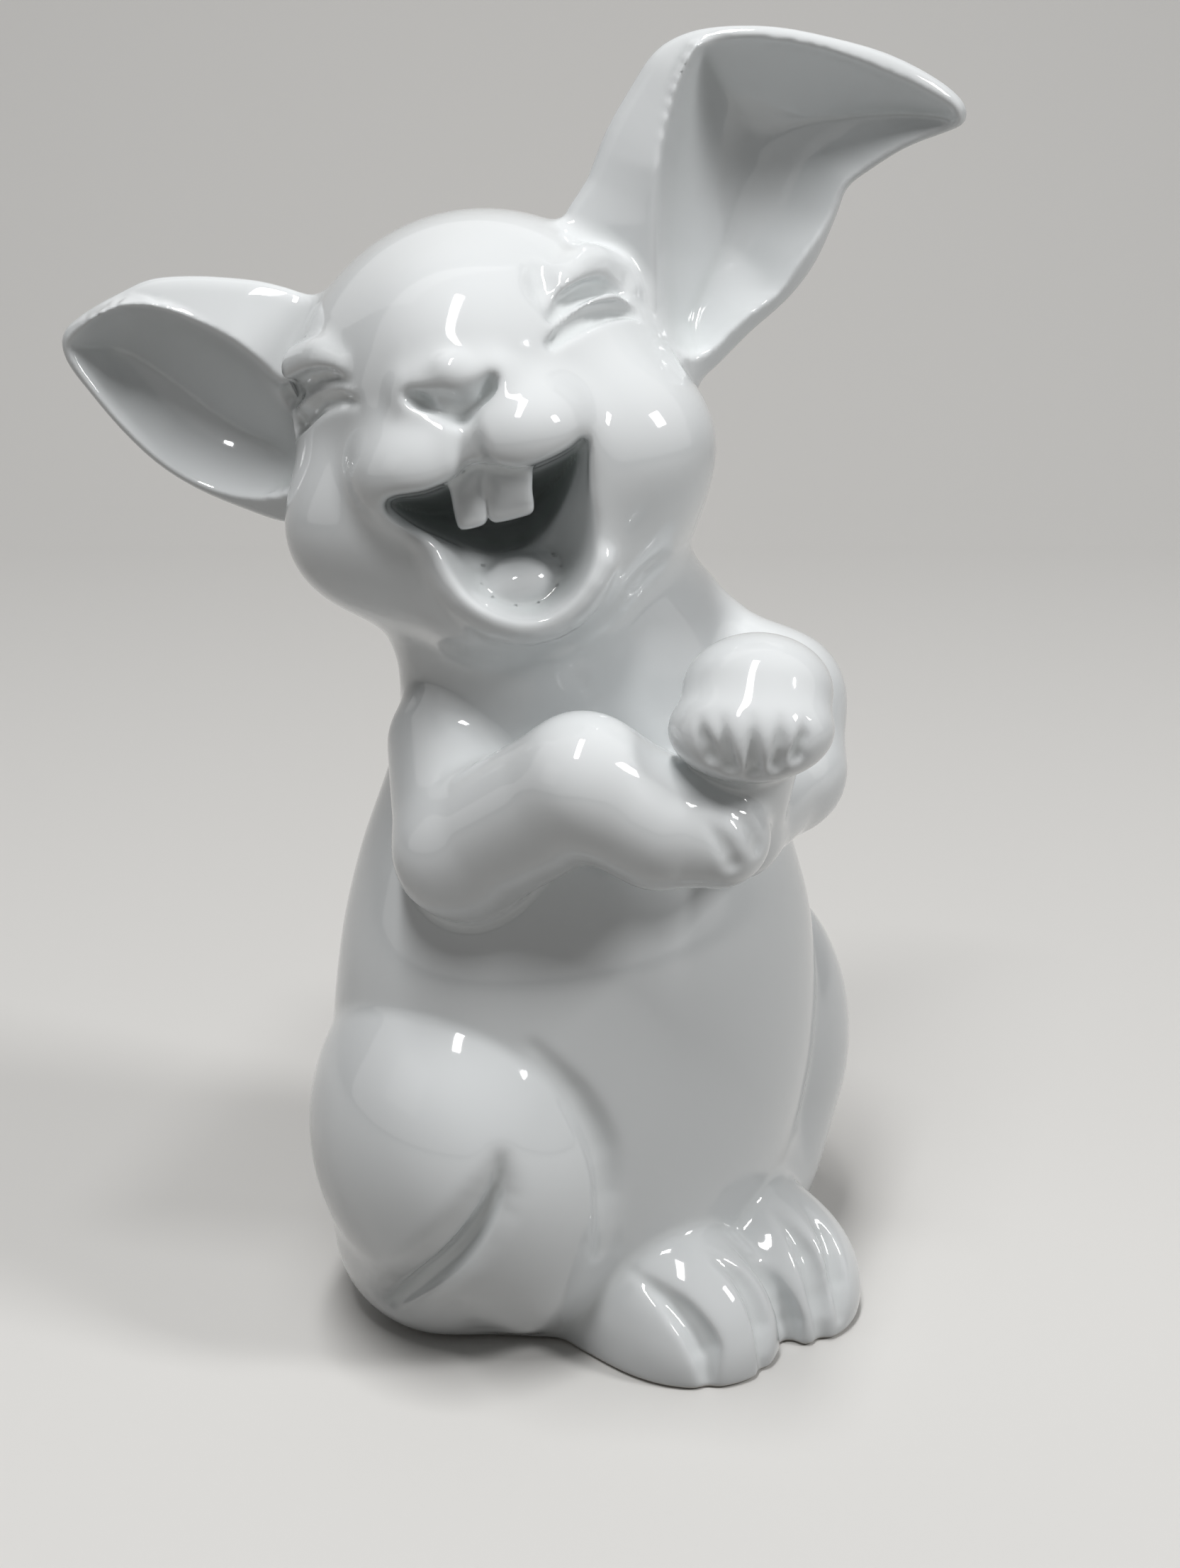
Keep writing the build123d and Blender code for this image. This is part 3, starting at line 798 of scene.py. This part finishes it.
class CLAY_OT_mouth(bpy.types.Operator):
    """Opens the mouth and sets the tongue and the front teeth in it"""

    bl_idname = "clay.mouth"
    bl_label = "Mouth, tongue and teeth"

    def execute(self, context):
        slant = clay.seen_plane(LIP_MARKS)
        deep = MOUTH_FRONT + millimetres("mouth_depth")
        dish_depth = millimetres("dish_depth")

        def dish(u, v, x, z, rim, scale):
            return CUT_FRONT, slanted(slant, u, v) + dish_depth * bowl_share(rim, JAW_RUN)

        def throat(u, v, x, z, rim, scale):
            return CUT_FRONT, THROAT_RIM + (deep - THROAT_RIM) * bowl_share(rim, THROAT_RUN)

        def slab(u, v, x, z, rim, scale):
            return TOOTH_FRONT + TOOTH_LEAN * (z - TOOTH_HEIGHT), TOOTH_BACK

        clay.cut(pane(LIPS, CUT_NEAR, deep, dish, MOUTH_EDGE), MOUTH_EDGE)
        clay.cut(pane(GAP, CUT_NEAR, deep, throat, MOUTH_EDGE), MOUTH_EDGE)
        clay.add("tongue", ball(place(*TONGUE_AT), TONGUE_RADII, HEAD), TONGUE_BLEND)
        for tooth in TEETH:
            clay.add("upper_incisors", pane(tooth, *TOOTH_SPAN, slab, TOOTH_EDGE), TOOTH_BLEND)
        return {"FINISHED"}


# The fold of the right haunch, pressed wide and then sharp, and the haunch's border: radii, depth, blend.
CREASE = ((706, 1640), (694, 1694), (654, 1757), (602, 1803), (552, 1838))
CREASE_GROOVES = (((1.0, 3.4, 4.6, 4.4, 2.8), 2.1, 3.0), ((0.4, 1.2, 1.7, 1.7, 1.0), 2.4, 1.5))
BORDER = ((752, 1478), (812, 1545), (844, 1612), (855, 1680), (845, 1765))
BORDER_GROOVE = ((0.5, 1.6, 2.0, 2.0, 0.8), 1.3, 2.0)

# The grooves between toes with their radii, and how a groove narrows: its least radius, then shares.
TOE_GROOVES = (
    (((895, 1795), (957, 1848), (994, 1901), (1000, 1952)), 2.3),
    (((1000, 1770), (1050, 1810), (1076, 1866), (1078, 1935)), 1.8),
    (((1030, 1752), (1085, 1806), (1112, 1866), (1114, 1920)), 2.3),
    (((1092, 1712), (1132, 1759), (1156, 1826), (1160, 1896)), 1.9),
    (((1130, 1698), (1166, 1746), (1184, 1804), (1187, 1860)), 1.6),
)
TOE_START = 0.3
TOE_SHARES = (0.8, 1.0, 0.45)
TOE_SOFT = 1.2

# The grooves between the fingers of the closed paw and of the hanging one: lines, then radii, depth, blend.
LEFT_FINGERS = (
    ((987, 1016), (993, 1042), (1002, 1070)),
    ((1019, 1014), (1022, 1050), (1028, 1086)),
    ((1061, 1012), (1062, 1052), (1064, 1094)),
    ((1102, 1014), (1101, 1048), (1097, 1084)),
    ((1136, 1018), (1134, 1042), (1126, 1068)),
)
LEFT_FINGER_GROOVE = ((0.3, 0.9, 1.1), 1.3, 0.8)
RIGHT_FINGERS = (((1000, 1165), (1020, 1190), (1035, 1220)), ((1035, 1150), (1058, 1168), (1070, 1195)))
RIGHT_FINGER_GROOVE = ((0.4, 1.2, 1.3), 0.7, 1.0)

# The vent in the base, and how the base's edge is rounded.
VENT_LOW = BODY @ np.array((0.0, 12.4, -4.0))
VENT_HIGH = BODY @ np.array((0.0, 12.4, 8.0))
VENT_RADIUS = 4.0
VENT_EDGE = 0.8
BASE_EDGE = 1.2


class CLAY_OT_creases(bpy.types.Operator):
    """Presses the fold of the haunch, the toes and the fingers, and cuts the flat base with its vent"""

    bl_idname = "clay.creases"
    bl_label = "Toes, fingers and base"

    def execute(self, context):
        for groove in CREASE_GROOVES:
            clay.press(clay.seen_line(CREASE), *groove)
        clay.press(clay.seen_line(BORDER), *BORDER_GROOVE)
        toe_depth = context.scene.clay_sizes.toe_depth
        for line, radius in TOE_GROOVES:
            radii = (TOE_START, *(share * radius for share in TOE_SHARES))
            clay.press(clay.seen_line(line), radii, toe_depth * radius, TOE_SOFT)
        for lines, groove in ((LEFT_FINGERS, LEFT_FINGER_GROOVE), (RIGHT_FINGERS, RIGHT_FINGER_GROOVE)):
            for line in lines:
                clay.press(clay.seen_line(line, SHORT_POINTS), *groove)
        clay.cut(roll((VENT_LOW, VENT_HIGH), (VENT_RADIUS, VENT_RADIUS)), VENT_EDGE)
        clay.soften()
        clay.flatten(BASE_EDGE)
        return {"FINISHED"}


# The glaze: inputs of its nodes, and the share of the mottling. The bare clay's band is in metres.
GLAZE = {"IOR": 1.52, "Coat Weight": 0.35, "Coat Roughness": 0.03}
MOTTLE = {"Scale": 38.0, "Detail": 4.0}
MOTTLE_SHARE = 0.16
BARE_BAND = {"From Min": 0.0009, "From Max": 0.0004}
BARE_ROUGHNESS = 0.75
RIPPLE = {"Scale": 120.0, "Detail": 2.0}
RIPPLE_BUMP = {"Strength": 0.06, "Distance": 0.0004}


def set_inputs(node, values):
    """Sets the values of a node's inputs."""
    for name, value in values.items():
        node.inputs[name].default_value = value


def add_node(tree, kind, values, **settings):
    """A new node with its settings and the values of its inputs."""
    node = tree.nodes.new(kind)
    for name, value in settings.items():
        setattr(node, name, value)
    set_inputs(node, values)
    return node


def porcelain():
    """White glaze over fine clay: faint mottling, a deeper tone where it pools, bare clay on the base."""
    look = bpy.context.scene.glaze_look
    material = bpy.data.materials.new("white_porcelain_glaze")
    material.use_nodes = True
    tree = material.node_tree
    link = tree.links.new
    shader = tree.nodes["Principled BSDF"]
    set_inputs(shader, GLAZE)
    where = add_node(tree, "ShaderNodeTexCoord", {}).outputs["Object"]
    mottle = add_node(tree, "ShaderNodeTexNoise", MOTTLE)
    link(where, mottle.inputs["Vector"])
    pooling = add_node(tree, "ShaderNodeAttribute", {}, attribute_name="pooling")
    share = add_node(tree, "ShaderNodeMath", {1: MOTTLE_SHARE}, operation="MULTIPLY_ADD")
    link(mottle.outputs["Fac"], share.inputs[0])
    link(pooling.outputs["Fac"], share.inputs[2])
    tone = add_node(tree, "ShaderNodeMix", {}, data_type="RGBA")
    set_inputs(tone, {"A": look.white, "B": look.pooled})
    link(share.outputs[0], tone.inputs["Factor"])
    split = add_node(tree, "ShaderNodeSeparateXYZ", {})
    link(where, split.inputs[0])
    base = add_node(tree, "ShaderNodeMapRange", BARE_BAND)
    link(split.outputs["Z"], base.inputs["Value"])
    bare = add_node(tree, "ShaderNodeMix", {}, data_type="RGBA")
    set_inputs(bare, {"B": look.biscuit})
    link(base.outputs["Result"], bare.inputs["Factor"])
    link(tone.outputs["Result"], bare.inputs["A"])
    link(bare.outputs["Result"], shader.inputs["Base Color"])
    rough = add_node(tree, "ShaderNodeMapRange", {"To Min": look.gloss, "To Max": BARE_ROUGHNESS})
    link(base.outputs["Result"], rough.inputs["Value"])
    link(rough.outputs["Result"], shader.inputs["Roughness"])
    ripple = add_node(tree, "ShaderNodeTexNoise", RIPPLE)
    link(where, ripple.inputs["Vector"])
    bump = add_node(tree, "ShaderNodeBump", RIPPLE_BUMP)
    link(ripple.outputs["Fac"], bump.inputs["Height"])
    link(bump.outputs["Normal"], shader.inputs["Normal"])
    return material


# The skin: how often its points move onto the surface, the least slope there, and the height of the base.
SKIN_MOVES = 2
LEAST_SLOPE = 0.05
FLOOR_SKIN = 0.12

# How far around a point pooling is read, its gain, and how deep a face's piece is looked up, in cells.
POOL_REACH = 3.0
POOL_GAIN = 1.2
PIECE_SINK = 0.3


class CLAY_OT_fire(bpy.types.Operator):
    """Skins the clay, parts it at the luted seams, and gives each piece its glaze"""

    bl_idname = "clay.fire"
    bl_label = "Part and glaze the pieces"

    def execute(self, context):
        grid = openvdb.FloatGrid(FAR)
        grid.copyFromArray(np.clip(clay.dist, -FAR, FAR))
        points, quads = grid.convertToQuads(0.0)
        points = clay.low + points.astype(float) * clay.cell
        for _ in range(SKIN_MOVES):
            slope = clay.slope(points)
            move = clay.sample(points) / np.maximum((slope**2).sum(-1), LEAST_SLOPE)
            points = points - move[:, None] * slope
        height = points[:, 2]
        points[:, 2] = np.where(height < FLOOR_SKIN, np.maximum(height, 0.0), height)
        normals = clay.normal(points)
        a, b, c = (points[quads[:, n]] for n in range(3))
        if (np.cross(b - a, c - a) * normals[quads[:, 0]]).sum() < 0.0:
            quads = quads[:, ::-1]
        wide = POOL_REACH * clay.cell
        around = [clay.sample(points + wide * side * axis) for axis in np.eye(3) for side in (-1, 1)]
        pooling = np.clip(-np.mean(around, axis=0) * POOL_GAIN / wide, 0.0, 1.0)
        middle = points[quads].mean(1) - PIECE_SINK * clay.cell * normals[quads].mean(1)
        cells = np.rint((middle - clay.low) / clay.cell).astype(int)
        cells = np.clip(cells, 0, np.array(clay.owner.shape) - 1)
        owner = clay.owner[tuple(cells.T)]
        glaze = porcelain()
        for number, piece in enumerate(PIECES):
            faces = quads[owner == number]
            if not len(faces):
                raise RuntimeError(f"no clay is left for {piece}")
            self.part(piece, points, normals, pooling, faces, glaze)
        return {"FINISHED"}

    def part(self, piece, points, normals, pooling, faces, glaze):
        """Makes one piece, with its seams closed by flat fans."""
        used, faces = np.unique(faces, return_inverse=True)
        faces = faces.reshape(-1, 4)
        places, outward, pools = points[used], normals[used], pooling[used]
        caps = []
        for ring in self.seams(faces):
            hub = len(places)
            members = np.unique(np.array(ring))
            places = np.concatenate((places, points[used][members].mean(0)[None]))
            outward = np.concatenate((outward, np.array([[0.0, 0.0, 1.0]])))
            pools = np.concatenate((pools, [0.0]))
            caps += [(end, start, hub) for start, end in ring]
        mesh = bpy.data.meshes.new(piece + "_glazed")
        mesh.from_pydata((places / MILLIMETRES).tolist(), [], faces.tolist() + caps)
        mesh.attributes.new("pooling", "FLOAT", "POINT").data.foreach_set("value", pools.astype(np.float32))
        mesh.polygons.foreach_set("use_smooth", np.arange(len(mesh.polygons)) < len(faces))
        mesh.update()
        loops = np.zeros(len(mesh.loops), np.int32)
        mesh.loops.foreach_get("vertex_index", loops)
        corners = outward[loops]
        corners[faces.size:] = 0.0
        mesh.normals_split_custom_set(corners.tolist())
        mesh.materials.append(glaze)
        thing = bpy.data.objects.new(piece + "_glazed", mesh)
        bpy.context.scene.collection.objects.link(thing)
        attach(thing, "root")
        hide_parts(piece)

    def seams(self, faces):
        """The open edges of a piece, in groups that hang together."""
        edges = np.stack((faces, np.roll(faces, -1, 1)), -1).reshape(-1, 2)
        keys = {tuple(edge) for edge in edges.tolist()}
        open_edges = np.array([edge for edge in keys if edge[::-1] not in keys]).reshape(-1, 2)
        open_edges = open_edges[np.lexsort(open_edges.T)].tolist()
        group = {}

        def root(n):
            while group.setdefault(n, n) != n:
                group[n] = group[group[n]]
                n = group[n]
            return n

        for start, end in open_edges:
            group[root(start)] = root(end)
        rings = {}
        for start, end in open_edges:
            rings.setdefault(root(start), []).append((start, end))
        return rings.values()


# The stage, in metres: the floor, the wall behind it, the cove between them and the floor's paint.
FLOOR_SIZE = 12.0
FLOOR_AT = (0.0, -5.0, 0.0)
WALL_HEIGHT = 2.0
WALL_BEYOND = 0.9
WALL_FOOT = 0.1
COVE_SIZE = 0.5
COVE_STEPS = 16
FLOOR_ROUGHNESS = 0.7
FLOOR_DIMMED = 0.35

# The lamps, in metres and watts: name, place, size and power, and the place that all are aimed at.
LAMPS = (
    ("key", (-0.10, -0.34, 1.30), (0.14, 0.75), 12.0),
    ("side", (0.85, -0.37, 0.80), (0.20, 0.30), 4.8),
    ("fill", (-0.90, -0.60, 0.60), (0.60, 0.60), 0.3),
    ("back", (-0.30, 0.80, 0.95), (1.60, 1.20), 2.0),
)
LAMPS_AIM = np.array((0.0, 0.0, 0.09))

# The room's colour, its strength as a light and as it is seen, and the camera's sensor and nearest depth.
ROOM_COLOUR = (0.62, 0.61, 0.60, 1.0)
ROOM_LEVELS = {"To Min": 0.08, "To Max": 0.85}
SENSOR_HEIGHT = 36.0
CLIP_START = 0.01


def shown_rays(tree):
    """One for the rays that show the background: to the camera, in a gloss and through glass."""
    ray = add_node(tree, "ShaderNodeLightPath", {})
    shown = ray.outputs["Is Camera Ray"]
    for kind in ("Is Glossy Ray", "Is Transmission Ray"):
        either = add_node(tree, "ShaderNodeMath", {}, operation="MAXIMUM")
        tree.links.new(shown, either.inputs[0])
        tree.links.new(ray.outputs[kind], either.inputs[1])
        shown = either.outputs[0]
    return shown


def pick_edges(mesh, top):
    """Selects the edges at the wall that lie below a height."""
    for edge in mesh.edges:
        ends = [mesh.vertices[n].co for n in edge.vertices]
        edge.select = all(end.y > WALL_BEYOND and end.z < top for end in ends)


class CLAY_OT_stage(bpy.types.Operator):
    """Sets up the pale floor, the soft lamps and the camera"""

    bl_idname = "clay.stage"
    bl_label = "Stage"

    def execute(self, context):
        scene = context.scene
        floor = self.floor(context)
        floor.data.materials.append(self.floor_paint(scene.glaze_look))
        for name, at, size, power in LAMPS:
            self.lamp(scene, name, at, size, power)
        self.room(scene)
        self.camera(scene)
        scene.view_settings.view_transform = "Standard"
        return {"FINISHED"}

    def floor(self, context):
        """A floor that curves up into a wall behind the figurine."""
        bpy.ops.object.select_all(action="DESELECT")
        bpy.ops.mesh.primitive_plane_add(size=FLOOR_SIZE, location=FLOOR_AT)
        bpy.ops.object.transform_apply(location=True)
        bpy.ops.object.mode_set(mode="EDIT")
        bpy.ops.mesh.select_all(action="DESELECT")
        bpy.ops.object.mode_set(mode="OBJECT")
        floor = context.active_object
        pick_edges(floor.data, WALL_HEIGHT)
        bpy.ops.object.mode_set(mode="EDIT")
        bpy.ops.mesh.extrude_region_move(TRANSFORM_OT_translate={"value": (0.0, 0.0, WALL_HEIGHT)})
        bpy.ops.object.mode_set(mode="OBJECT")
        pick_edges(floor.data, WALL_FOOT)
        bpy.ops.object.mode_set(mode="EDIT")
        bpy.ops.mesh.bevel(offset=COVE_SIZE, segments=COVE_STEPS)
        bpy.ops.mesh.faces_shade_smooth()
        bpy.ops.object.mode_set(mode="OBJECT")
        floor.name = "pale_floor"
        return floor

    def floor_paint(self, look):
        """Pale paint, which throws less light onto the figurine than it shows."""
        material = bpy.data.materials.new("pale_floor")
        material.use_nodes = True
        tree = material.node_tree
        shader = tree.nodes["Principled BSDF"]
        tone = add_node(tree, "ShaderNodeMix", {}, data_type="RGBA")
        set_inputs(tone, {"A": [FLOOR_DIMMED * n for n in look.floor[:3]] + [1.0], "B": look.floor})
        tree.links.new(shown_rays(tree), tone.inputs["Factor"])
        tree.links.new(tone.outputs["Result"], shader.inputs["Base Color"])
        set_inputs(shader, {"Roughness": FLOOR_ROUGHNESS})
        return material

    def lamp(self, scene, name, at, size, power):
        """Hangs one soft lamp, aimed at the figurine."""
        light = bpy.data.lights.new(name, "AREA")
        light.shape = "RECTANGLE"
        light.energy = power
        light.size, light.size_y = size
        thing = bpy.data.objects.new(name, light)
        scene.collection.objects.link(thing)
        thing.location = at
        aim = LAMPS_AIM - np.array(at)
        flat = math.hypot(aim[0], aim[1])
        thing.rotation_euler = (math.atan2(flat, -aim[2]), 0.0, math.atan2(-aim[0], aim[1]))

    def room(self, scene):
        """A grey room around the stage, which is brighter to look at than as a light."""
        world = bpy.data.worlds.new("studio")
        scene.world = world
        world.use_nodes = True
        tree = world.node_tree
        background = tree.nodes["Background"]
        set_inputs(background, {"Color": ROOM_COLOUR})
        level = add_node(tree, "ShaderNodeMapRange", ROOM_LEVELS)
        tree.links.new(shown_rays(tree), level.inputs["Value"])
        tree.links.new(level.outputs["Result"], background.inputs["Strength"])

    def camera(self, scene):
        """The camera that took the picture."""
        camera = bpy.data.cameras.new("camera")
        camera.sensor_fit = "VERTICAL"
        camera.sensor_height = SENSOR_HEIGHT
        camera.lens = FOCAL / PICTURE_HEIGHT * SENSOR_HEIGHT
        camera.clip_start = CLIP_START
        thing = bpy.data.objects.new("camera", camera)
        scene.collection.objects.link(thing)
        thing.location = [n / MILLIMETRES for n in EYE]
        thing.rotation_euler = (math.pi / 2 - PITCH, 0.0, 0.0)
        scene.camera = thing


STEPS = (
    CLAY_OT_torso, CLAY_OT_head, CLAY_OT_ears, CLAY_OT_legs, CLAY_OT_arms, CLAY_OT_face, CLAY_OT_mouth,
    CLAY_OT_creases, CLAY_OT_fire, CLAY_OT_stage,
)


class CLAY_PT_panel(bpy.types.Panel):
    """Lists the steps of the model and its settings"""

    bl_idname = "CLAY_PT_panel"
    bl_label = "Porcelain rabbit"
    bl_space_type = "VIEW_3D"
    bl_region_type = "UI"
    bl_category = "Porcelain"

    def draw(self, context):
        for step in STEPS:
            self.layout.operator(step.bl_idname)
        for group in (context.scene.clay_sizes, context.scene.glaze_look):
            for name in group.bl_rna.properties.keys():
                if name not in ("rna_type", "name"):
                    self.layout.prop(group, name)


CLASSES = (ClaySizes, GlazeLook, *STEPS, CLAY_PT_panel)


def register():
    """Registers the classes and their settings."""
    for cls in CLASSES:
        bpy.utils.register_class(cls)
    bpy.types.Scene.clay_sizes = bpy.props.PointerProperty(type=ClaySizes)
    bpy.types.Scene.glaze_look = bpy.props.PointerProperty(type=GlazeLook)


def unregister():
    """Takes the classes and their settings away."""
    del bpy.types.Scene.clay_sizes
    del bpy.types.Scene.glaze_look
    for cls in reversed(CLASSES):
        bpy.utils.unregister_class(cls)


def main():
    """Models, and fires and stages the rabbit."""
    register()
    bpy.ops.clay.torso()
    bpy.ops.clay.head()
    bpy.ops.clay.ears()
    bpy.ops.clay.legs()
    bpy.ops.clay.arms()
    bpy.ops.clay.face()
    bpy.ops.clay.mouth()
    bpy.ops.clay.creases()
    bpy.ops.clay.fire()
    bpy.ops.clay.stage()


if __name__ == "__main__":
    main()
